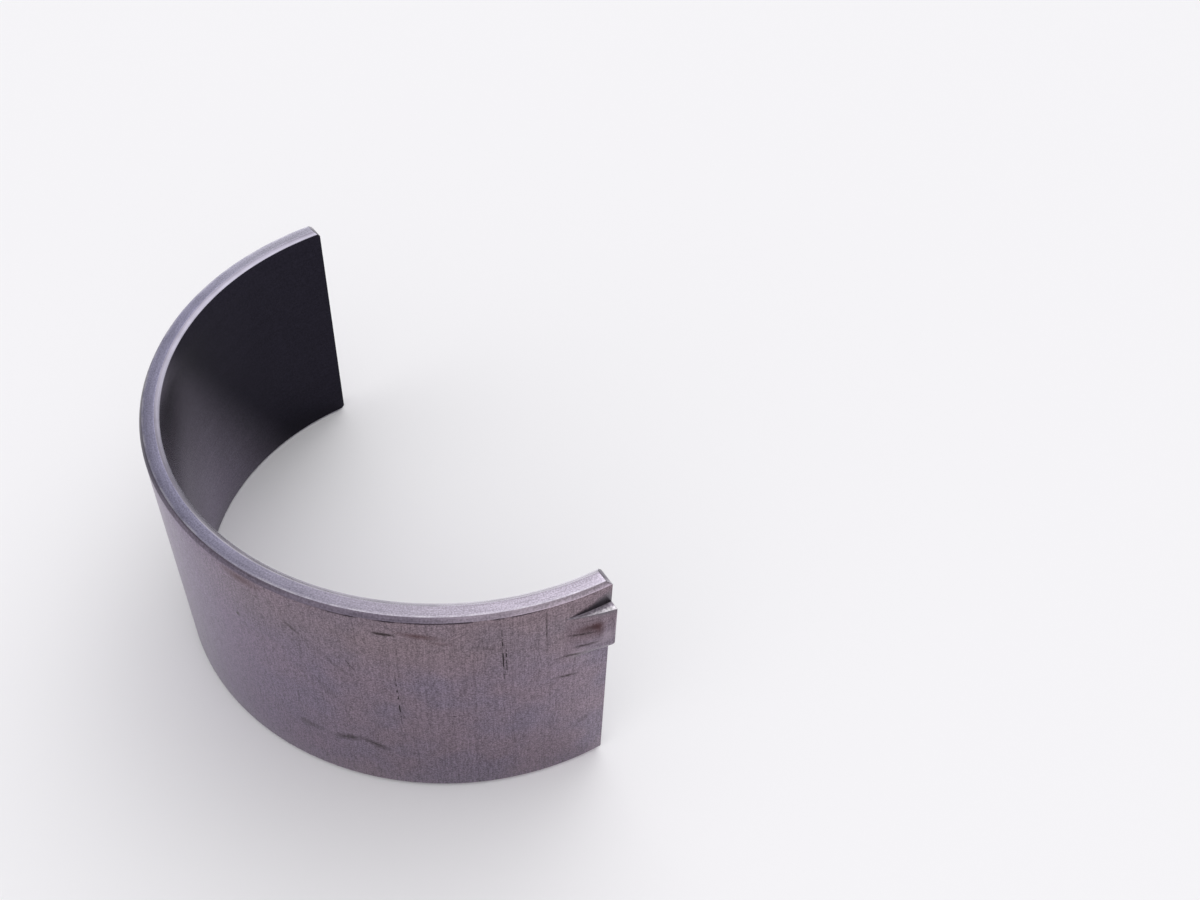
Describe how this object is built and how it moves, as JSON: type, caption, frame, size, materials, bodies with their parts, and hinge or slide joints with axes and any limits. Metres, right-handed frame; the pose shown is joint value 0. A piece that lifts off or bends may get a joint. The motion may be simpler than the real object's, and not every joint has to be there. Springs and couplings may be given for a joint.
{
  "type": "engine bearing shell",
  "caption": "Thin-wall half bearing shell for a crankshaft journal, with chamfered side faces, a plain bore and a pressed locating tang beside a parting face.",
  "frame": {"origin": "middle of the footprint's bounding box, on the plane of the lower side face", "axes": "+Z along the bearing axis towards the side face next to the tang, +X across the parting faces towards the tang, +Y out of the shell's open side"},
  "size_m": [0.0546, 0.0262, 0.0247],
  "materials": {
    "shell_steel": "dull satin rolled back with fine axial marks, ground side faces, smooth satin lining in the bore"
  },
  "bodies": {
    "root": {"bearing_shell": "shell_steel"}
  },
  "joints": []
}
